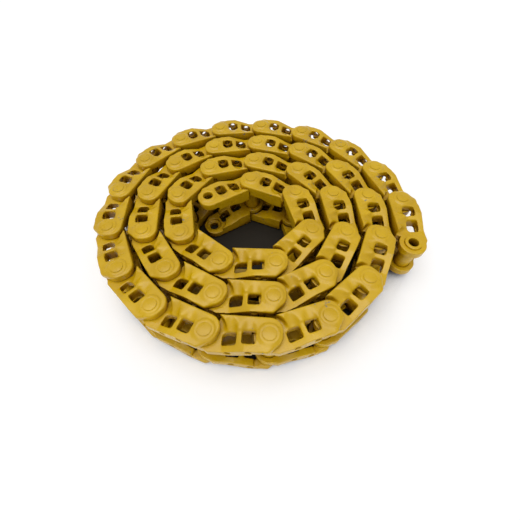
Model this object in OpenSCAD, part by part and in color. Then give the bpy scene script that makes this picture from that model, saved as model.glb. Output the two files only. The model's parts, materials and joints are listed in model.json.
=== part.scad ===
// Excavator track chain without shoes, rolled up into a coil that lies on its side.
// Each pitch is one upper and one lower link with a bushing pressed in at one end
// and a pin pressed in at the other; the pin turns in the bushing of the pitch before.
// Millimetres. The coil lies on the plane z = 0 and is centred on the z axis.

/* [Chain] */
// Distance from one pin to the next
pitch = 190; // [180:1:205]
// Number of pitches in the chain
pitches = 42; // [12:1:42]

/* [Coil] */
// Sharpest bend between two pitches, at the inner end
tight_bend = 71; // [60:1:72]
// Room between two turns of the coil, beyond the bow of a straight pitch
turn_play = 1; // [0.5:0.5:20]
// How far the coil is squashed into an oval
squash = 17; // [0:1:18]

/* [Link side view] */
// Pin axis to the rail face that the rollers run on
rail_reach = 51; // [49:0.5:54]
// Pin axis to the face that carries the shoe
shoe_reach = 55; // [53:0.5:58]
// Radius of the round pin end
pin_end_r = 40; // [37:0.5:42]
// Radius of the round bushing end
bush_end_r = 47; // [44:0.5:48]
// Swing room round the neighbour's bushing end
swing_room = 7; // [5:0.5:9]
// Radius of the hollow end of the rail, round the neighbour's pin end
rail_end_r = 64; // [60:0.5:68]
// Bushing axis back to the end of the shoe strip
shoe_back = 12; // [8:0.5:20]
// Width of the rail band beside the windows
rail_band = 43; // [40:0.5:45]
// Width of the shoe strip beside the windows
shoe_band = 24; // [20:0.5:27]

/* [Windows] */
// Pin axis to the near side of the first window
window_start = 39; // [36:0.5:41]
// Length of the first window, beside the pin
window_1 = 41; // [36:0.5:42]
// Length of the second window, beside the bushing
window_2 = 43; // [36:0.5:44]
// Width of the rib between the windows
rib = 16; // [13:0.5:20]
// Radius of the windows' corners
window_r = 6; // [3:0.5:10]
// Radius of the corner between the second window and the rail's end
window_big_r = 15; // [8:0.5:18]
// Step of the second window towards the shoe
window_step = 4; // [0:0.5:6]

/* [Widths across the chain] */
// Clear width between the links, for the sprocket teeth
inner_w = 84; // [70:1:100]
// Thickness of a link's bushing end
bush_end_w = 28; // [26:0.5:30]
// Thickness of a link's pin end, with its raised pad
pin_end_w = 32; // [31:0.5:36]
// Running gap between a pin end and the bushing end inside it
side_gap = 1; // [0.5:0.1:2]
// Height of the raised pad round the pin
pad_h = 4; // [2:0.5:6]
// Drop from the pin end and the rail to the shoe strip, and the chamfer on their edges
strip_drop = 3; // [1:0.5:4]
// Radius of the raised pad round the pin
pad_r = 30; // [27:0.5:32]
// Width of the flat lip that the scoops leave along the rail
rail_lip = 8; // [5:0.5:12]
// Depth of the pin-side scoop, from the window out to the rail
scoop_1 = 11; // [6:0.5:14]
// Radius of the pin-side scoop
scoop_1_r = 28; // [24:0.5:34]
// Depth of the bushing-side scoop, from the window out to the rail
scoop_2 = 20; // [12:0.5:22]
// Radius of the bushing-side scoop
scoop_2_r = 25; // [23:0.5:30]

/* [Pin, bushing and seals] */
// Diameter of the pin
pin_d = 36.5; // [33:0.5:38]
// Chamfer on the pin's ends
pin_chamfer = 1.5; // [0.5:0.25:3]
// How far the pin stands out of the pad
pin_proud = 1; // [0.5:0.5:4]
// Countersink round the pin in the pad
pin_sink = 2.5; // [1:0.25:4]
// Hair gap between pressed pieces, which keeps each of them a solid of its own
press_gap = 0.02; // [0.01:0.01:0.05]
// Running gap of the pin in the bushing, on the radius
running_fit = 0.08; // [0.05:0.01:0.1]
// Wall of the bushing
bush_wall = 11; // [9:0.5:12]
// How far the bushing stands out of its link, into the seal's seat
bush_nose = 6; // [4:0.5:7]
// Room round the bushing's nose in the seal's seat
seat_room = 2; // [1:0.25:3]
// Thickness of a dust seal
seal_w = 4.5; // [3:0.25:6]
// Running gap between the seal and the bushing's end face
seal_gap = 0.3; // [0.2:0.05:0.6]

/* [Shoe bolts] */
// Diameter of the shoe bolt holes
bolt_d = 20.5; // [16:0.5:21]
// Pin axis to the first bolt hole, along the link
bolt_start = 58; // [56:0.5:60]
// First to second bolt hole, along the link
bolt_step = 62; // [58:0.5:64]
// Distance across the chain between the first holes of the two links
bolt_wide = 160.4; // [158:0.2:164]
// Distance across the chain between the second holes of the two links
bolt_narrow = 124.4; // [122:0.2:128]

/* [Hidden] */
$fn = 64;
// Number of pitches at the outer end whose pieces are nodes of their own
split = 4;
// Small overlap that makes cuts run clean through
through = 1;
// Heights above the middle of the chain, from the bushing end outwards
z_in = inner_w / 2;
z_bush = z_in + bush_end_w;
z_pin = z_bush + side_gap;
z_pad = z_pin + pin_end_w;
z_face = z_pad - pad_h;
half_width = z_pad + pin_proud;
// Pin, bushing and seal
pin_r = pin_d / 2;
bush_bore_r = pin_r + running_fit;
bush_r = bush_bore_r + bush_wall;
seat_r = bush_r + seat_room;
z_nose = z_bush + bush_nose;
z_seal = z_nose + seal_gap;
z_seat = z_seal + seal_w + press_gap;
seal_lip = 2;
bush_chamfer = 1.5;
// Side view of the link: x runs from the pin to the bushing, the rail is on -y
window_low = rail_band - rail_reach;
window_high = shoe_reach - shoe_band;
rib_start = window_start + window_1;
window_2_start = rib_start + rib;
window_2_end = window_2_start + window_2;
rail_end = pitch - sqrt(pow(rail_end_r, 2) - pow(rail_reach, 2));
relief_r = bush_end_r + swing_room;
diagonal = sqrt(0.5);
heel_x = shoe_reach - pin_end_r / diagonal;
rail_round = rail_reach - pin_end_r;
strip_end_turn = 60;
rail_end_turn = 30;
// Joggle of the link: its outer face slopes down to the bushing end, its inner face with it
slope_out = [bolt_start + bolt_d / 2 + 2 * side_gap, pitch - rail_reach - 2 * side_gap];
z_strip = z_face - strip_drop;
slope_in = [relief_r, bolt_start + bolt_step - bolt_d / 2];
z_slope_in = bolt_wide / 2 - bolt_d;
// The coil: a spiral that grows by one link height and some room in each turn
start_radius = pitch / 2 / sin(tight_bend / 2);
link_height = rail_reach + shoe_reach;
bow_radius = start_radius + 2 * link_height;
bow = bow_radius - sqrt(pow(bow_radius, 2) - pow(pitch / 2, 2));
turn_gap = link_height + bow + turn_play;
largest_step = 100;
halvings = 40;

function radius_at(turn) = start_radius + turn_gap * turn / 360 + squash * cos(2 * turn);
function spot(turn) = radius_at(turn) * [cos(turn), -sin(turn)];
function turned(p, angle) = [
    p.x * cos(angle) - p.y * sin(angle),
    p.x * sin(angle) + p.y * cos(angle)
];
// The turn at which the next pin lies one pitch away, found by halving
function next_turn(from, low, high, left) =
    left == 0 ? high
    : let (middle = (low + high) / 2)
      norm(spot(middle) - spot(from)) < pitch
        ? next_turn(from, middle, high, left - 1)
        : next_turn(from, low, middle, left - 1);
turns = [
    for (i = 0, turn = 0; i <= pitches;
         turn = next_turn(turn, turn, turn + largest_step, halvings), i = i + 1) turn
];
// The coil is turned until the outer end points along -y, with its shoe face on +x
last_run = spot(turns[pitches]) - spot(turns[pitches - 1]);
lay = -90 - atan2(last_run.y, last_run.x);
raw_pins = [for (turn = turns) turned(spot(turn), lay)];
heads = [
    for (i = [0 : pitches - 1])
        let (run = raw_pins[i + 1] - raw_pins[i]) atan2(run.y, run.x)
];
// Box of the coil in plan, from the round ends and the corners of the shoe strips
function placed(i, p) = raw_pins[i] + turned(p, heads[i]);
corners = [
    for (i = [0 : pitches - 1], p = [[heel_x, shoe_reach], [pitch - shoe_back, shoe_reach]])
        placed(i, p)
];
ends = [for (i = [0 : pitches - 1], way = [-1, 1]) raw_pins[i] + way * pin_end_r * [1, 1]];
bush_ends = [for (i = [1 : pitches], way = [-1, 1]) raw_pins[i] + way * bush_end_r * [1, 1]];
reach = concat(corners, ends, bush_ends);
box_x = [for (p = reach) p.x];
box_y = [for (p = reach) p.y];
middle = [(min(box_x) + max(box_x)) / 2, (min(box_y) + max(box_y)) / 2];

function two_digits(i) = i < 10 ? str("0", i) : str(i);
function pitch_name(i) = str("pitch_", two_digits(i));
function piece_name(piece, i) = str(piece, "_", two_digits(i));
inner_end = ["inner_end_upper_link", "inner_end_lower_link", "inner_end_bushing"];
pieces = ["upper_link", "lower_link", "bushing", "pin", "seals"];
whole = [for (i = [1 : pitches - split - 1]) i];
outer_end = [for (i = [pitches - split : pitches - 1]) i];

// Puts a piece of one pitch in its place in the coil
module in_pitch(i) {
    translate([raw_pins[i].x - middle.x, raw_pins[i].y - middle.y, half_width])
        rotate(heads[i])
            children();
}

// Window from low to high, with one corner of its own radius beside the rail's end
module window(low, high, big_r) {
    hull_low = [low.x + window_r, low.y + window_r];
    hull_high = [high.x - window_r, high.y - window_r];
    difference() {
        union() {
            translate([hull_low.x, low.y])
                square([hull_high.x - hull_low.x, high.y - low.y]);
            translate([low.x, hull_low.y])
                square([high.x - low.x, hull_high.y - hull_low.y]);
            for (x = [hull_low.x, hull_high.x], y = [hull_low.y, hull_high.y])
                translate([x, y])
                    circle(window_r);
        }
        difference() {
            translate([high.x - big_r, low.y - through])
                square([big_r + through, big_r + through]);
            translate([high.x - big_r, low.y + big_r])
                circle(big_r);
        }
    }
}

// Outline of the link, seen along the pins
module link_outline() {
    circle(pin_end_r);
    translate([0, -rail_round])
        circle(pin_end_r);
    translate([pitch, 0])
        circle(bush_end_r);
    polygon([
        [-pin_end_r, -rail_round],
        [0, -rail_reach],
        [rail_end, -rail_reach],
        [pitch - bush_r * cos(rail_end_turn), -bush_r * sin(rail_end_turn)],
        [pitch, 0],
        [pitch + bush_r * cos(strip_end_turn), bush_end_r * sin(strip_end_turn)],
        [pitch - shoe_back, shoe_reach],
        [heel_x, shoe_reach],
        [-pin_end_r * diagonal, pin_end_r * diagonal],
        [-pin_end_r, 0]
    ]);
}

// The link's joggle, seen from the shoe: pin end outboard, bushing end inboard
module link_joggle() {
    far = pitch + bush_end_r + through;
    near = -pin_end_r - through;
    polygon([
        [near, z_pin],
        [slope_in[0] - swing_room, z_pin],
        [slope_in[0] - swing_room, z_slope_in],
        [slope_in[1], z_in],
        [far, z_in],
        [far, z_bush],
        [slope_out[1], z_bush],
        [slope_out[0], z_strip],
        [near, z_strip]
    ]);
}

// The rail stays outboard along the whole link, seen along the chain, with a chamfered edge
module rail_profile() {
    polygon([
        [-rail_reach, z_bush - bush_end_w / 2],
        [-rail_reach, z_strip],
        [strip_drop - rail_reach, z_face],
        [window_low, z_face],
        [window_low, z_bush - bush_end_w / 2]
    ]);
}

// Trough that runs out from a window's edge to the rail band
module scoop(middle_x, depth, scoop_r) {
    rise = atan(depth / (rail_band - rail_lip));
    translate([middle_x, window_low, z_face + scoop_r - depth])
        rotate([90 - rise, 0, 0])
            translate([0, 0, -scoop_r * tan(rise)])
                cylinder(r = scoop_r, h = 2 * rail_band);
}

// Round pin end with its raised pad
module pin_end(h) {
    translate([0, 0, z_pin])
        rotate_extrude()
            polygon([
                [0, 0],
                [pin_end_r, 0],
                [pin_end_r, pin_end_w - pad_h - strip_drop],
                [pin_end_r - strip_drop, pin_end_w - pad_h],
                [pad_r + pad_h, pin_end_w - pad_h],
                [pad_r, h],
                [0, h]
            ]);
}

module link_body() {
    intersection() {
        linear_extrude(z_pad)
            link_outline();
        translate([0, link_height, 0])
            rotate([90, 0, 0])
                linear_extrude(2 * link_height)
                    link_joggle();
    }
    // The rail, cut hollow at its end
    difference() {
        rotate([90, 0, 90])
            linear_extrude(rail_end)
                rail_profile();
        translate([pitch, 0, z_bush])
            cylinder(r = rail_end_r, h = z_pad);
        translate([pitch, 0, 0])
            cylinder(r = bush_end_r + swing_room, h = z_pad);
    }
    pin_end(pin_end_w);
    // The round end runs on to the rail
    translate([0, -rail_round, 0])
        pin_end(pin_end_w - pad_h);
}

// Upper link, about the middle of the chain
module link() {
    difference() {
        link_body();
        // Room for the neighbour's bushing end
        translate([0, 0, -through])
            cylinder(r = relief_r, h = z_pin + through);
        // Windows over the shoe bolts' nuts
        linear_extrude(z_pad) {
            window([window_start, window_low], [rib_start, window_high], window_r);
            window([window_2_start, window_low + window_step],
                   [window_2_end, window_high + window_step], window_big_r);
        }
        scoop(window_start + window_1 / 2, scoop_1, scoop_1_r);
        scoop(window_2_start + window_2 / 2, scoop_2, scoop_2_r);
        // Pin bore, its countersink and the seat of the seal
        cylinder(r = pin_r + press_gap, h = half_width);
        translate([0, 0, z_pad - pin_sink])
            cylinder(r1 = pin_r, r2 = pin_r + pin_sink, h = pin_sink);
        cylinder(r = seat_r, h = z_seat);
        // Bushing bore
        translate([pitch, 0, 0])
            cylinder(r = bush_r + press_gap, h = z_nose);
        // Shoe bolt holes
        for (hole = [[bolt_start, bolt_wide / 2], [bolt_start + bolt_step, bolt_narrow / 2]])
            translate([hole[0], shoe_reach + through, hole[1]])
                rotate([90, 0, 0])
                    cylinder(d = bolt_d, h = shoe_band + 2 * through);
    }
}

module upper_link() {
    color("gold")
        link();
}

module lower_link() {
    color("gold")
        mirror([0, 0, 1])
            link();
}

module bushing() {
    color("goldenrod")
        translate([pitch, 0, 0])
            rotate_extrude()
                polygon([
                    [bush_bore_r, -z_nose],
                    [bush_r - bush_chamfer, -z_nose],
                    [bush_r, bush_chamfer - z_nose],
                    [bush_r, z_nose - bush_chamfer],
                    [bush_r - bush_chamfer, z_nose],
                    [bush_bore_r, z_nose]
                ]);
}

module pin() {
    color("goldenrod")
        rotate_extrude()
            polygon([
                [0, -half_width],
                [pin_r - pin_chamfer, -half_width],
                [pin_r, pin_chamfer - half_width],
                [pin_r, half_width - pin_chamfer],
                [pin_r - pin_chamfer, half_width],
                [0, half_width]
            ]);
}

// Dust seal: a ring with a tapered lip, seated on the floor of the pin end's seat
module seal() {
    translate([0, 0, z_seal])
        rotate_extrude()
            polygon([
                [pin_r + seat_room, seal_w],
                [pin_r + seat_room, seal_w / 2],
                [bush_r - bush_chamfer - seal_lip, 0],
                [bush_r - bush_chamfer, 0],
                [seat_r - seal_gap, seal_w / 2],
                [seat_r - seal_gap, seal_w]
            ]);
}

module seals() {
    color("dimgray") {
        seal();
        mirror([0, 0, 1])
            seal();
    }
}

module pitch_set() {
    upper_link();
    lower_link();
    bushing();
    pin();
    seals();
}

// Inner end of the chain: open pin bores, with no pin and no seals
in_pitch(0) upper_link();
in_pitch(0) lower_link();
in_pitch(0) bushing();
// Pitches along the coil
for (i = whole)
    in_pitch(i) pitch_set();
// Outer end of the chain, piece by piece
for (i = outer_end) {
    in_pitch(i) upper_link();
    in_pitch(i) lower_link();
    in_pitch(i) bushing();
    in_pitch(i) pin();
    in_pitch(i) seals();
}
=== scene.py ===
"""Finished look of a rolled-up excavator track chain.

Forged links, turned pins and bushings in yellow enamel, and rubber seals, each laid in its pitch.
"""

import json
import math

import bpy
from mathutils import Matrix, Vector


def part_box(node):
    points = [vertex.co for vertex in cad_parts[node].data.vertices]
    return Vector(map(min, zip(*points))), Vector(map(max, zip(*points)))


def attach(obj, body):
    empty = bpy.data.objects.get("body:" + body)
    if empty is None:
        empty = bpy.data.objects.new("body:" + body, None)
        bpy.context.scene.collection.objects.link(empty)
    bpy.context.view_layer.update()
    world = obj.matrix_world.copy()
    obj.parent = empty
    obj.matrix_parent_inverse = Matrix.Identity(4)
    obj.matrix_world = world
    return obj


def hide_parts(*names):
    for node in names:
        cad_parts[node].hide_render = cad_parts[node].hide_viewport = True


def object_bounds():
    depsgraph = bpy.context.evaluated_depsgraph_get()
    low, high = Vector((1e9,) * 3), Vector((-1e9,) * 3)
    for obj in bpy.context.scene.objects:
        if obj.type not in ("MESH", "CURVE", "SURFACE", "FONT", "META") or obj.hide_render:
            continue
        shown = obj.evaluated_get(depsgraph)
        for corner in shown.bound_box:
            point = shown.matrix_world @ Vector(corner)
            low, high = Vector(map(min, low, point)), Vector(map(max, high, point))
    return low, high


bl_info = {
    "name": "Track Chain Coil",
    "version": (1, 0, 0),
    "blender": (4, 5, 0),
    "location": "3D View > Sidebar > Chain",
    "description": "Dresses the packed track chain with forged links and yellow enamel",
    "category": "Object",
}

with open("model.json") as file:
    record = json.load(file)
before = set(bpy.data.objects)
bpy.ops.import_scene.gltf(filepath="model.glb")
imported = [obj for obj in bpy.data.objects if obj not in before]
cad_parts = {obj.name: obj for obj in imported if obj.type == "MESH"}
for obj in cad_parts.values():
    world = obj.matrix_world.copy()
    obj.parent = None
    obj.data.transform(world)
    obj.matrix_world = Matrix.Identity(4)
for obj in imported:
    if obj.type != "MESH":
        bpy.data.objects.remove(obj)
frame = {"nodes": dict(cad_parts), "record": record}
cad_low, cad_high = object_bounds()
record = frame["record"]

MM = 0.001

# Pieces of the outer end pitch that a link, a bushing and a seal take their sizes from
LINK_NODE = "upper_link_41"
BUSHING_NODE = "bushing_41"
SEALS_NODE = "seals_41"

# Mounts at the two ends of the chain
MOUNTS = {m["name"]: m for m in record["mounts"]}
INNER_END = "inner_end_pin_bores"
OUTER_END = "outer_end_bushing"

# Places on a link where the die let the steel flow, in mm: x along the link from its pin, y across
# it from rail to shoe, z up from the middle plane. A pair is where softening starts and is full.
SCOOP_X = ((34, 42), (152, 146))
SCOOP_Y = ((-48, -40), (8, 0))
SCOOP_Z = (66, 72)
HEEL_CORNER = (-1.6, 55.0)
HEEL_REACH = (36, 24)
JOGGLE_MIDDLE = 72
JOGGLE_REACH = (22, 10)
JOGGLE_Y = ((30, 36), (54, 48))
JOGGLE_Z = (76, 84)

# Mesh making: merged points, share of the way in one smoothing pass, sides of the turned pieces,
# and the angle under which faces shade as one
MERGED_WITHIN = 0.01 * MM
SMOOTHING = 0.5
STEEL_SIDES = 64
SEAL_SIDES = 32
SMOOTH_UNDER = math.radians(30)

# Sizes of the patterns in the finishes
COAT_DRIFT = 90 * MM
DUST_PATCH = 35 * MM
CORNER_REACH = 40 * MM
OIL_REACH = 250 * MM
CHIP_GROUP = 60 * MM
CHIP_FLAKE = 9 * MM
FORGING_SCALE = 22 * MM
FORGING_DEPTH = 2 * MM
ORANGE_PEEL = 3 * MM
PEEL_DEPTH = 0.4 * MM
RUBBER_BLOOM = 8 * MM
TURNED_PAINT = "yellow enamel on turned steel"

# Studio: floor and shade in metres, openness at which the shade starts and is full, height in the
# sky at which the ceiling starts and is full, way of the key light, film in mm, nearest point seen
FLOOR_SIZE = 60
SHADE_REACH = 0.6
SHADE_OPEN = 0.96
SHADE_FULL = 0.84
CEILING_START = 0.78
CEILING_FULL = 0.97
KEY_WAY = (0.12, 0.1, -1.0)
WHITE = "#FFFFFF"
SKY_WHITE = "#FDFDFF"
FILM_WIDTH = 36
NEAREST = 0.02


def chain_axes():
    """Every hinge axis from the inner end to the outer end, in the middle plane of the chain."""
    inner, outer = (Vector(MOUNTS[end]["pos_m"]) for end in (INNER_END, OUTER_END))
    inner.z = outer.z
    hinges = [Vector(j["pos_m"]) for j in record["behaviour"]["joints"]]
    return [inner, *hinges, outer]


AXES = chain_axes()
PITCHES = len(AXES) - 1


def pitch_matrix(i):
    """Place of pitch i: x runs from its pin to its bushing, z is up from the middle plane."""
    run = AXES[i + 1] - AXES[i]
    return Matrix.Translation(AXES[i]) @ Matrix.Rotation(math.atan2(run.y, run.x), 4, "Z")


def body_name(i):
    """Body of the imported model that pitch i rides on."""
    return f"section_{i:02d}"


def pitch_node(i, piece):
    """CAD node that holds one piece of pitch i."""
    names = record["behaviour"]["bodies"][body_name(i)]
    if len(names) == 1:
        return names[0]
    return next(n for n in names if piece in n)


def ramp(value, start, full):
    """0 before start and 1 after full, in a straight line between; start may be the higher."""
    return min(1.0, max(0.0, (value - start) / (full - start)))


def between(value, sides):
    """1 between the full ends of two ramps, falling to 0 outside them."""
    return min(ramp(value, *side) for side in sides)


def softness(point):
    """How freely the steel of a link flowed at a point, from 0 to 1."""
    x, y, z = point / MM
    scoops = min(between(x, SCOOP_X), between(y, SCOOP_Y), ramp(z, *SCOOP_Z))
    heel = ramp(math.dist((x, y), HEEL_CORNER), *HEEL_REACH)
    joggle = min(
        ramp(abs(x - JOGGLE_MIDDLE), *JOGGLE_REACH), between(y, JOGGLE_Y), ramp(z, *JOGGLE_Z))
    return max(scoops, heel, joggle)


def linear(code):
    """Opaque linear colour of an sRGB hex code such as '#C9A227'."""
    parts = [int(code[k:k + 2], 16) / 255 for k in (1, 3, 5)]
    return (*(c / 12.92 if c <= 0.04045 else ((c + 0.055) / 1.055) ** 2.4 for c in parts), 1.0)


def add(tree, kind, inputs=None, **settings):
    """Adds one shader node, sets it and links or fills its inputs."""
    made = tree.nodes.new("ShaderNode" + kind)
    for name, value in settings.items():
        setattr(made, name, value)
    for name, value in (inputs or {}).items():
        if isinstance(value, bpy.types.NodeSocket):
            tree.links.new(value, made.inputs[name])
        else:
            made.inputs[name].default_value = value
    return made


def start_material(name):
    """Material with its shader and output only, its tree and the shader."""
    material = bpy.data.materials.new(name)
    material.use_nodes = True
    tree = material.node_tree
    tree.nodes.clear()
    shader = add(tree, "BsdfPrincipled")
    add(tree, "OutputMaterial", {"Surface": shader.outputs["BSDF"]})
    return material, tree, shader


class ChainSizes(bpy.types.PropertyGroup):
    """Sizes that shape the visible pieces."""

    voxel: bpy.props.FloatProperty(
        name="Forging voxel", description="Grain of the mesh that rounds a link's edges",
        default=1.7 * MM, min=1.0 * MM, max=4.0 * MM, unit="LENGTH")
    rounding: bpy.props.IntProperty(
        name="Rounding", description="Smoothing passes that round a link's edges",
        default=7, min=0, max=40)
    flowing: bpy.props.IntProperty(
        name="Flowing",
        description="Smoothing passes where the die let the steel flow, at scoops, heel and joggle",
        default=90, min=0, max=200)
    link_faces: bpy.props.IntProperty(
        name="Link triangles", description="Triangles kept in one link",
        default=11000, min=2000, max=40000)
    pin_radius: bpy.props.FloatProperty(
        name="Pin radius", description="Radius of a pin",
        default=18.25 * MM, unit="LENGTH")
    pin_flare: bpy.props.FloatProperty(
        name="Pin flare", description="Radius of a pin's end with the paint round it",
        default=21.0 * MM, unit="LENGTH")
    pin_sink: bpy.props.FloatProperty(
        name="Pin sink", description="Depth of the paint round a pin's end",
        default=3.0 * MM, unit="LENGTH")
    pin_chamfer: bpy.props.FloatProperty(
        name="Pin chamfer", description="Rounded edge of a pin's end",
        default=0.5 * MM, unit="LENGTH")
    bushing_chamfer: bpy.props.FloatProperty(
        name="Bushing chamfer", description="Rounded edge of a bushing's end",
        default=1.6 * MM, unit="LENGTH")
    bushing_wall: bpy.props.FloatProperty(
        name="Bushing wall", description="Wall of a bushing",
        default=11.0 * MM, unit="LENGTH")
    seal_thickness: bpy.props.FloatProperty(
        name="Seal thickness", description="Thickness of a dust seal",
        default=4.4 * MM, unit="LENGTH")
    seal_room: bpy.props.FloatProperty(
        name="Seal room", description="Room between a pin and its seals",
        default=2.0 * MM, unit="LENGTH")


class ChainFinish(bpy.types.PropertyGroup):
    """Colours of the finishes."""

    enamel: bpy.props.StringProperty(
        name="Enamel", description="Fresh yellow enamel, sRGB hex", default="#D0A808")
    enamel_deep: bpy.props.StringProperty(
        name="Thick enamel", description="Enamel where it ran thick, sRGB hex", default="#C29A05")
    enamel_pale: bpy.props.StringProperty(
        name="Dusty enamel", description="Enamel under a film of dust, sRGB hex", default="#D0B250")
    # Painted shade: the brown that the enamel takes inside the chain, where little light reaches
    enamel_shaded: bpy.props.StringProperty(
        name="Shaded enamel", description="Enamel in painted shade, sRGB hex", default="#9C6A06")
    # Grime in the corners, and also the painted shade deep inside the chain
    grime_and_shade: bpy.props.StringProperty(
        name="Grime", description="Dirt in the corners, sRGB hex", default="#1E0E00")
    bare_steel: bpy.props.StringProperty(
        name="Bare steel", description="Steel that shows where the enamel chipped, sRGB hex",
        default="#77736A")
    rubber: bpy.props.StringProperty(
        name="Seal rubber", description="Dust seal, sRGB hex", default="#1B1A19")
    rubber_bloom: bpy.props.StringProperty(
        name="Rubber bloom", description="Bloom on a dust seal, sRGB hex", default="#2C2A28")
    floor: bpy.props.StringProperty(
        name="Floor", description="Studio floor, sRGB hex", default="#FAFAFA")
    shade: bpy.props.StringProperty(
        name="Floor shade", description="Floor inside the coil, sRGB hex", default="#1C160A")


class ChainStage(bpy.types.PropertyGroup):
    """Camera and light of the studio."""

    eye: bpy.props.FloatVectorProperty(
        name="Eye", description="Place of the camera",
        default=(0.00572, -0.79595, 1.05351), unit="LENGTH")
    azimuth: bpy.props.FloatProperty(
        name="Azimuth", description="Turn of the camera from the y axis, clockwise from above",
        default=math.radians(-0.126), subtype="ANGLE")
    elevation: bpy.props.FloatProperty(
        name="Elevation", description="How far the camera looks down",
        default=math.radians(57.156), subtype="ANGLE")
    roll: bpy.props.FloatProperty(
        name="Roll", description="Turn of the camera about its axis",
        default=math.radians(-0.872), subtype="ANGLE")
    lens: bpy.props.FloatProperty(
        name="Lens", description="Focal length on a 36 mm frame, in mm",
        default=21.145, min=5, max=200)
    sky: bpy.props.FloatProperty(
        name="Sky", description="Strength of the even light from all round",
        default=0.55, min=0, max=4)
    ceiling: bpy.props.FloatProperty(
        name="Ceiling", description="Strength of the bright ceiling that gloss mirrors",
        default=1.5, min=0, max=9)
    key: bpy.props.FloatProperty(
        name="Key light", description="Strength of the wide light from above",
        default=1.52, min=0, max=10)
    key_width: bpy.props.FloatProperty(
        name="Key width", description="Angle across the wide light",
        default=math.radians(60), subtype="ANGLE")
    floor_lift: bpy.props.FloatProperty(
        name="Floor lift", description="Part of white that the open floor is lifted by",
        default=0.1, min=0, max=1)


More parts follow.
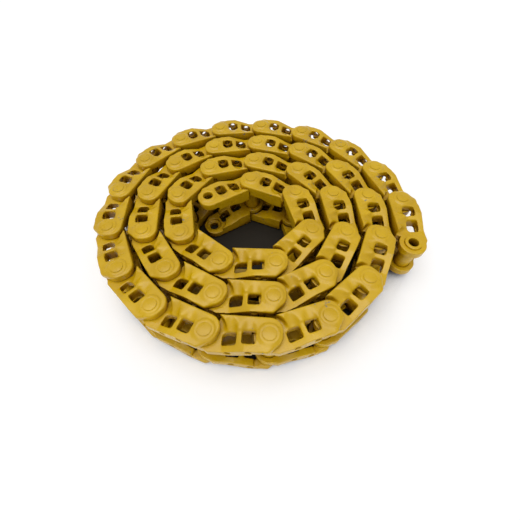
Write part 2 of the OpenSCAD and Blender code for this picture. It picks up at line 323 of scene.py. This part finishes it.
def enamel_material(name, finish, turned):
    """Yellow enamel sprayed over steel, forged or turned.

    It gives a glossy skin whose tone drifts with its thickness, over the waves of the steel, with
    dust on top and small chips down to the steel. Grime and painted shade darken its corners, and
    painted shade browns and blackens it inside the chain.
    """
    material, tree, shader = start_material(name)
    where = add(tree, "TexCoord").outputs["Object"]
    # Sprayed thickness drifts over about 90 mm
    drift = add(tree, "TexNoise", {"Vector": where, "Scale": 1 / COAT_DRIFT, "Detail": 3.0})
    tone = add(tree, "MapRange", {
        "Value": drift.outputs["Fac"], "From Min": 0.35, "From Max": 0.68})
    paint = add(tree, "Mix", {
        0: tone.outputs["Result"],
        6: linear(finish.enamel_deep), 7: linear(finish.enamel)}, data_type="RGBA")
    # Dust lies in patches of about 35 mm on what faces up
    patches = add(tree, "TexNoise", {"Vector": where, "Scale": 1 / DUST_PATCH, "Detail": 5.0})
    normal = add(tree, "NewGeometry").outputs["Normal"]
    up = add(tree, "SeparateXYZ", {"Vector": normal}).outputs["Z"]
    lying = add(tree, "MapRange", {
        "Value": up, "From Min": 0.3, "From Max": 1.0, "To Max": 0.1})
    patchy = add(tree, "MapRange", {
        "Value": patches.outputs["Fac"], "From Min": 0.45, "From Max": 0.75})
    dust = add(tree, "Math", {
        0: lying.outputs["Result"], 1: patchy.outputs["Result"]}, operation="MULTIPLY")
    dusty = add(tree, "Mix", {
        0: dust.outputs["Value"],
        6: paint.outputs[2], 7: linear(finish.enamel_pale)}, data_type="RGBA")
    # Grime and painted shade sit in corners within about 40 mm of another face of the same piece
    corner = add(tree, "AmbientOcclusion", {"Distance": CORNER_REACH}, samples=8, only_local=True)
    deep = add(tree, "MapRange", {
        "Value": corner.outputs["AO"], "From Min": 0.62, "From Max": 0.2, "To Max": 0.7})
    # Painted shade browns the paint inside the chain, within about 250 mm of its other pieces, and
    # blackens it deep in
    inside = add(tree, "AmbientOcclusion", {"Distance": OIL_REACH}, samples=8)
    shut = add(tree, "MapRange", {
        "Value": inside.outputs["AO"], "From Min": 0.4, "From Max": 0.05, "To Max": 0.98})
    # Grime in corners and painted shade inside the chain, whichever is stronger
    dirt_and_shade = add(tree, "Math", {
        0: deep.outputs["Result"], 1: shut.outputs["Result"]}, operation="MAXIMUM")
    half = add(tree, "MapRange", {"Value": dirt_and_shade.outputs["Value"], "From Max": 0.5})
    # Painted shade browns the enamel where the chain shuts it in
    shaded_paint = add(tree, "Mix", {
        0: half.outputs["Result"],
        6: dusty.outputs[2], 7: linear(finish.enamel_shaded)}, data_type="RGBA")
    full = add(tree, "MapRange", {"Value": dirt_and_shade.outputs["Value"], "From Min": 0.5})
    # Grime darkens the corners, and painted shade blackens the paint deep inside the chain
    grimy_and_shaded = add(tree, "Mix", {
        0: full.outputs["Result"],
        6: shaded_paint.outputs[2], 7: linear(finish.grime_and_shade)}, data_type="RGBA")
    # Chips of 4 to 8 mm lie in loose groups
    groups = add(tree, "TexNoise", {"Vector": where, "Scale": 1 / CHIP_GROUP, "Detail": 2.0})
    flakes = add(tree, "TexNoise", {
        "Vector": where, "Scale": 1 / CHIP_FLAKE, "Detail": 6.0, "Roughness": 0.6})
    grouped = add(tree, "Math", {
        0: groups.outputs["Fac"], 1: flakes.outputs["Fac"]}, operation="MULTIPLY")
    chip = add(tree, "MapRange", {
        "Value": grouped.outputs["Value"], "From Min": 0.42, "From Max": 0.43})
    colour = add(tree, "Mix", {
        0: chip.outputs["Result"],
        6: grimy_and_shaded.outputs[2], 7: linear(finish.bare_steel)}, data_type="RGBA")
    tree.links.new(colour.outputs[2], shader.inputs["Base Color"])
    # Dirt and painted shade take the mirror off the paint, and dust dulls it
    mirror = add(tree, "MapRange", {
        "Value": dirt_and_shade.outputs["Value"], "To Min": 0.42, "To Max": 0.04})
    tree.links.new(mirror.outputs["Result"], shader.inputs["Specular IOR Level"])
    gloss = add(tree, "MapRange", {
        "Value": patches.outputs["Fac"], "From Min": 0.3, "From Max": 0.7,
        "To Min": 0.22, "To Max": 0.36})
    tree.links.new(gloss.outputs["Result"], shader.inputs["Roughness"])
    # Waves of about 22 mm in the steel, fainter where it is turned, under orange peel of about 3 mm
    waves = add(tree, "TexNoise", {"Vector": where, "Scale": 1 / FORGING_SCALE, "Detail": 2.0})
    peel = add(tree, "TexNoise", {"Vector": where, "Scale": 1 / ORANGE_PEEL, "Detail": 1.0})
    swell = add(tree, "Bump", {
        "Height": waves.outputs["Fac"], "Strength": 0.12 if turned else 0.3,
        "Distance": FORGING_DEPTH})
    skin = add(tree, "Bump", {
        "Height": peel.outputs["Fac"], "Strength": 0.12, "Distance": PEEL_DEPTH,
        "Normal": swell.outputs["Normal"]})
    tree.links.new(skin.outputs["Normal"], shader.inputs["Normal"])
    return material


def rubber_material(name, finish):
    """Moulded nitrile rubber: dull black with a faint bloom in spots of about 8 mm."""
    material, tree, shader = start_material(name)
    where = add(tree, "TexCoord").outputs["Object"]
    bloom = add(tree, "TexNoise", {"Vector": where, "Scale": 1 / RUBBER_BLOOM, "Detail": 4.0})
    tint = add(tree, "Mix", {
        0: bloom.outputs["Fac"],
        6: linear(finish.rubber), 7: linear(finish.rubber_bloom)}, data_type="RGBA")
    tree.links.new(tint.outputs[2], shader.inputs["Base Color"])
    shader.inputs["Roughness"].default_value = 0.75
    return material


def floor_material(stage, finish):
    """Matt paint on a flat floor: white to the eye in the open, dark where the coil shuts it in."""
    material, tree, shader = start_material("matt studio floor")
    shader.inputs["Roughness"].default_value = 0.9
    # Little light reaches the floor where the chain stands round it on all four sides
    openest = None
    for x, y in ((1, 0), (0, 1), (-1, 0), (0, -1)):
        side = add(tree, "CombineXYZ", {"X": x, "Y": y}).outputs[0]
        wall = add(tree, "AmbientOcclusion", {
            "Distance": SHADE_REACH, "Normal": side}, samples=16).outputs["AO"]
        openest = add(tree, "Math", {0: openest or wall, 1: wall}, operation="MAXIMUM").outputs[0]
    shade = add(tree, "MapRange", {
        "Value": openest, "From Min": SHADE_OPEN, "From Max": SHADE_FULL}).outputs["Result"]
    pale = add(tree, "Mix", {
        0: shade, 6: linear(finish.floor), 7: linear(finish.shade)}, data_type="RGBA")
    tree.links.new(pale.outputs[2], shader.inputs["Base Color"])
    # What the eye and the gloss see of the open floor is lifted to white
    ray = add(tree, "LightPath")
    seen = add(tree, "Math", {
        0: ray.outputs["Is Camera Ray"], 1: ray.outputs["Is Glossy Ray"]}, operation="MAXIMUM")
    shown = add(tree, "Math", {
        0: seen.outputs[0], 1: ray.outputs["Is Transmission Ray"]}, operation="MAXIMUM")
    clear = add(tree, "Math", {0: 1.0, 1: shade}, operation="SUBTRACT")
    lift = add(tree, "Math", {0: shown.outputs[0], 1: clear.outputs[0]}, operation="MULTIPLY")
    glow = add(tree, "Math", {0: lift.outputs[0], 1: stage.floor_lift}, operation="MULTIPLY")
    shader.inputs["Emission Color"].default_value = linear(finish.floor)
    tree.links.new(glow.outputs[0], shader.inputs["Emission Strength"])
    return material


def studio_world(stage):
    """Surroundings that are white to the eye, light the chain evenly and shine in its gloss."""
    world = bpy.data.worlds.new("studio")
    world.use_nodes = True
    tree = world.node_tree
    tree.nodes.clear()
    ray = add(tree, "LightPath")
    seen = add(tree, "Background", {"Color": linear(WHITE), "Strength": 1.0})
    lit = add(tree, "Background", {"Color": linear(SKY_WHITE), "Strength": stage.sky})
    # Gloss mirrors a ceiling that is brightest overhead
    where = add(tree, "TexCoord").outputs["Generated"]
    height = add(tree, "SeparateXYZ", {"Vector": where}).outputs["Z"]
    ceiling = add(tree, "MapRange", {
        "Value": height, "From Min": CEILING_START, "From Max": CEILING_FULL,
        "To Min": stage.sky, "To Max": stage.ceiling})
    mirrored = add(tree, "Background", {
        "Color": linear(WHITE), "Strength": ceiling.outputs["Result"]})
    shiny = add(tree, "Math", {
        0: ray.outputs["Is Glossy Ray"], 1: ray.outputs["Is Transmission Ray"]},
        operation="MAXIMUM")
    unseen = add(tree, "MixShader", {
        "Fac": shiny.outputs[0], 1: lit.outputs[0], 2: mirrored.outputs[0]})
    mixed = add(tree, "MixShader", {
        "Fac": ray.outputs["Is Camera Ray"], 1: unseen.outputs[0], 2: seen.outputs[0]})
    add(tree, "OutputWorld", {"Surface": mixed.outputs[0]})
    return world


def hang_key(scene, stage):
    """Hangs the wide light over the chain."""
    lamp = bpy.data.lights.new("key", "SUN")
    lamp.energy = stage.key
    lamp.angle = stage.key_width
    key = bpy.data.objects.new("key", lamp)
    scene.collection.objects.link(key)
    key.rotation_euler = Vector(KEY_WAY).to_track_quat("-Z", "Y").to_euler()


def set_camera(scene, stage):
    """Sets the camera up at the photograph's viewing angle."""
    lens = bpy.data.cameras.new("camera")
    lens.lens = stage.lens
    lens.sensor_width = FILM_WIDTH
    lens.clip_start = NEAREST
    camera = bpy.data.objects.new("camera", lens)
    scene.collection.objects.link(camera)
    aim = Matrix.Rotation(-stage.azimuth, 4, "Z")
    tilt = Matrix.Rotation(math.pi / 2 - stage.elevation, 4, "X")
    spin = Matrix.Rotation(stage.roll, 4, "Z")
    camera.matrix_world = Matrix.Translation(Vector(stage.eye)) @ aim @ tilt @ spin
    scene.camera = camera


def only(obj):
    """Makes one object the active and only selected one."""
    bpy.ops.object.select_all(action="DESELECT")
    obj.select_set(True)
    bpy.context.view_layer.objects.active = obj


def apply_modifiers(obj):
    """Applies every modifier of an object in order."""
    only(obj)
    for modifier in list(obj.modifiers):
        bpy.ops.object.modifier_apply(modifier=modifier.name)


def add_smoothing(obj, name, passes, group=""):
    """Adds a smoothing modifier to an object, on all of it or on one vertex group."""
    modifier = obj.modifiers.new(name, "SMOOTH")
    modifier.factor = SMOOTHING
    modifier.iterations = passes
    modifier.vertex_group = group


def turn(profile, steps, ring):
    """Turns a profile of (radius, height) points about z.

    A ring closes on itself, anything else gets flat ends.
    """
    bpy.ops.object.select_all(action="DESELECT")
    radius, height = profile[0]
    bpy.ops.mesh.primitive_circle_add(vertices=steps, radius=radius, location=(0, 0, height))
    made = bpy.context.object
    bpy.ops.object.transform_apply()
    bpy.ops.object.mode_set(mode="EDIT")
    bpy.ops.mesh.select_all(action="SELECT")
    for wide, high in profile[1:]:
        bpy.ops.mesh.extrude_edges_move(TRANSFORM_OT_translate={"value": (0, 0, high - height)})
        grow = wide / radius
        bpy.ops.transform.resize(value=(grow, grow, 1), center_override=(0, 0, 0))
        radius, height = wide, high
    bpy.ops.mesh.select_mode(type="EDGE")
    bpy.ops.mesh.select_all(action="DESELECT")
    bpy.ops.mesh.select_non_manifold()
    if ring:
        bpy.ops.mesh.bridge_edge_loops()
    else:
        bpy.ops.mesh.fill_holes(sides=0)
    bpy.ops.mesh.select_all(action="SELECT")
    bpy.ops.mesh.normals_make_consistent(inside=False)
    bpy.ops.object.mode_set(mode="OBJECT")
    bpy.ops.object.shade_smooth_by_angle(angle=SMOOTH_UNDER)
    return made


def lay_copy(pattern, name, matrix, i, piece, material):
    """Lays a copy of a pattern piece in pitch i, with its place in its own mesh."""
    mesh = pattern.data.copy()
    mesh.transform(matrix)
    mesh.materials.clear()
    mesh.materials.append(material)
    obj = bpy.data.objects.new(name, mesh)
    bpy.context.scene.collection.objects.link(obj)
    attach(obj, body_name(i))
    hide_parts(pitch_node(i, piece))


class CHAIN_OT_links(bpy.types.Operator):
    """Forge one link from the CAD link and lay it in every pitch, above and below"""

    bl_idname = "chain.links"
    bl_label = "Links"

    def execute(self, context):
        sizes, finish = context.scene.chain_sizes, context.scene.chain_finish
        link = bpy.data.objects.new("link_pattern", frame["nodes"][LINK_NODE].data.copy())
        context.scene.collection.objects.link(link)
        link.data.transform(pitch_matrix(PITCHES - 1).inverted())
        only(link)
        bpy.ops.object.mode_set(mode="EDIT")
        bpy.ops.mesh.select_all(action="SELECT")
        bpy.ops.mesh.remove_doubles(threshold=MERGED_WITHIN)
        bpy.ops.object.mode_set(mode="OBJECT")
        # Round every edge, then let the steel flow where the die did
        grain = link.modifiers.new("grain", "REMESH")
        grain.mode = "VOXEL"
        grain.voxel_size = sizes.voxel
        add_smoothing(link, "rounded", sizes.rounding)
        apply_modifiers(link)
        soft = link.vertex_groups.new(name="soft")
        for v in link.data.vertices:
            soft.add([v.index], softness(v.co), "REPLACE")
        add_smoothing(link, "flowing", sizes.flowing, "soft")
        apply_modifiers(link)
        # Remeshing gives faces of four sides, which are two triangles each
        thinned = link.modifiers.new("thinned", "DECIMATE")
        thinned.ratio = sizes.link_faces / (2 * len(link.data.polygons))
        apply_modifiers(link)
        bpy.ops.object.shade_smooth()
        bpy.ops.object.duplicate()
        lower = context.object
        bpy.ops.object.mode_set(mode="EDIT")
        bpy.ops.mesh.select_all(action="SELECT")
        bpy.ops.transform.resize(value=(1, 1, -1), center_override=(0, 0, 0))
        bpy.ops.mesh.normals_make_consistent(inside=False)
        bpy.ops.object.mode_set(mode="OBJECT")
        paint = enamel_material("yellow enamel on forged steel", finish, False)
        for i in range(PITCHES):
            place = pitch_matrix(i)
            lay_copy(
                link, f"forged_upper_link_{i:02d}", place, i, "upper_link", paint)
            lay_copy(
                lower, f"forged_lower_link_{i:02d}", place, i, "lower_link", paint)
        bpy.data.objects.remove(link)
        bpy.data.objects.remove(lower)
        return {"FINISHED"}


class CHAIN_OT_pins(bpy.types.Operator):
    """Turn one pin with rounded ends and press it into every pitch but the first"""

    bl_idname = "chain.pins"
    bl_label = "Pins"

    def execute(self, context):
        sizes, finish = context.scene.chain_sizes, context.scene.chain_finish
        end = (cad_high.z - cad_low.z) / 2
        shaft, flare, edge = sizes.pin_radius, sizes.pin_flare, sizes.pin_chamfer
        # Paint fills the countersink round the pin, so that only a hair line shows
        upper = [
            (shaft, end - edge - sizes.pin_sink), (flare, end - edge),
            (flare - edge / 3, end - edge / 5), (flare - edge, end)]
        pin = turn([(r, -z) for r, z in reversed(upper)] + upper, STEEL_SIDES, False)
        paint = enamel_material(TURNED_PAINT, finish, True)
        for i in range(1, PITCHES):
            lay_copy(pin, f"turned_pin_{i:02d}", pitch_matrix(i), i, "pin", paint)
        bpy.data.objects.remove(pin)
        return {"FINISHED"}


class CHAIN_OT_bushings(bpy.types.Operator):
    """Turn one bushing with rounded ends and press it into every pitch"""

    bl_idname = "chain.bushings"
    bl_label = "Bushings"

    def execute(self, context):
        sizes = context.scene.chain_sizes
        low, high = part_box(BUSHING_NODE)
        end, edge = (high.z - low.z) / 2, sizes.bushing_chamfer
        bore = MOUNTS[OUTER_END]["dims"]["r_mm"] * MM
        outer = bore + sizes.bushing_wall
        upper = [
            (outer, end - edge), (outer - edge / 3, end - edge / 3), (outer - edge, end),
            (bore + edge / 2, end), (bore, end - edge / 2)]
        bushing = turn(upper + [(r, -z) for r, z in reversed(upper)], STEEL_SIDES, True)
        paint = bpy.data.materials[TURNED_PAINT]
        for i in range(PITCHES):
            place = Matrix.Translation(AXES[i + 1])
            lay_copy(bushing, f"turned_bushing_{i:02d}", place, i, "bushing", paint)
        bpy.data.objects.remove(bushing)
        return {"FINISHED"}


class CHAIN_OT_seals(bpy.types.Operator):
    """Mould one dust seal and seat it in every pin end"""

    bl_idname = "chain.seals"
    bl_label = "Seals"

    def execute(self, context):
        sizes, finish = context.scene.chain_sizes, context.scene.chain_finish
        low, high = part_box(SEALS_NODE)
        outer, back, thick = (high.x - low.x) / 2, high.z - AXES[0].z, sizes.seal_thickness
        inner = sizes.pin_radius + sizes.seal_room
        # The lip that wipes the bushing's end is a little outside the middle of the ring
        lip = (inner + outer) / 2 + thick / 4
        profile = [
            (inner, back), (inner, back - thick / 2), (lip - thick / 5, back - thick),
            (lip + thick / 5, back - thick), (outer, back - thick / 2), (outer, back)]
        upper = turn(profile, SEAL_SIDES, True)
        lower = turn([(r, -z) for r, z in profile], SEAL_SIDES, True)
        rubber = rubber_material("moulded nitrile rubber", finish)
        for i in range(1, PITCHES):
            place = Matrix.Translation(AXES[i])
            lay_copy(upper, f"upper_dust_seal_{i:02d}", place, i, "seals", rubber)
            lay_copy(lower, f"lower_dust_seal_{i:02d}", place, i, "seals", rubber)
        bpy.data.objects.remove(upper)
        bpy.data.objects.remove(lower)
        return {"FINISHED"}


class CHAIN_OT_stage(bpy.types.Operator):
    """Set the pale floor, the soft light and the camera"""

    bl_idname = "chain.stage"
    bl_label = "Stage"

    def execute(self, context):
        scene = context.scene
        stage = scene.chain_stage
        bpy.ops.object.select_all(action="DESELECT")
        bpy.ops.mesh.primitive_plane_add(size=FLOOR_SIZE)
        floor = context.object
        floor.name = "studio_floor"
        floor.data.materials.append(floor_material(stage, scene.chain_finish))
        scene.world = studio_world(stage)
        hang_key(scene, stage)
        set_camera(scene, stage)
        scene.view_settings.view_transform = "Standard"
        return {"FINISHED"}


class CHAIN_PT_panel(bpy.types.Panel):
    """Sizes, colours and steps of the track chain"""

    bl_idname = "CHAIN_PT_panel"
    bl_label = "Track Chain"
    bl_space_type = "VIEW_3D"
    bl_region_type = "UI"
    bl_category = "Chain"

    def draw(self, context):
        for step in STEPS:
            self.layout.operator(step.bl_idname)
        for group in GROUPS:
            values = getattr(context.scene, group)
            for name in values.bl_rna.properties.keys():
                if name not in {"rna_type", "name"}:
                    self.layout.prop(values, name)


STEPS = (CHAIN_OT_links, CHAIN_OT_pins, CHAIN_OT_bushings, CHAIN_OT_seals, CHAIN_OT_stage)
GROUPS = {"chain_sizes": ChainSizes, "chain_finish": ChainFinish, "chain_stage": ChainStage}


def register():
    for group in GROUPS.values():
        bpy.utils.register_class(group)
    for step in (*STEPS, CHAIN_PT_panel):
        bpy.utils.register_class(step)
    for name, group in GROUPS.items():
        setattr(bpy.types.Scene, name, bpy.props.PointerProperty(type=group))


def unregister():
    for name in GROUPS:
        delattr(bpy.types.Scene, name)
    for step in (CHAIN_PT_panel, *reversed(STEPS)):
        bpy.utils.unregister_class(step)
    for group in reversed(GROUPS.values()):
        bpy.utils.unregister_class(group)


def main():
    register()
    bpy.ops.chain.links()
    bpy.ops.chain.pins()
    bpy.ops.chain.bushings()
    bpy.ops.chain.seals()
    bpy.ops.chain.stage()


if __name__ == "__main__":
    main()
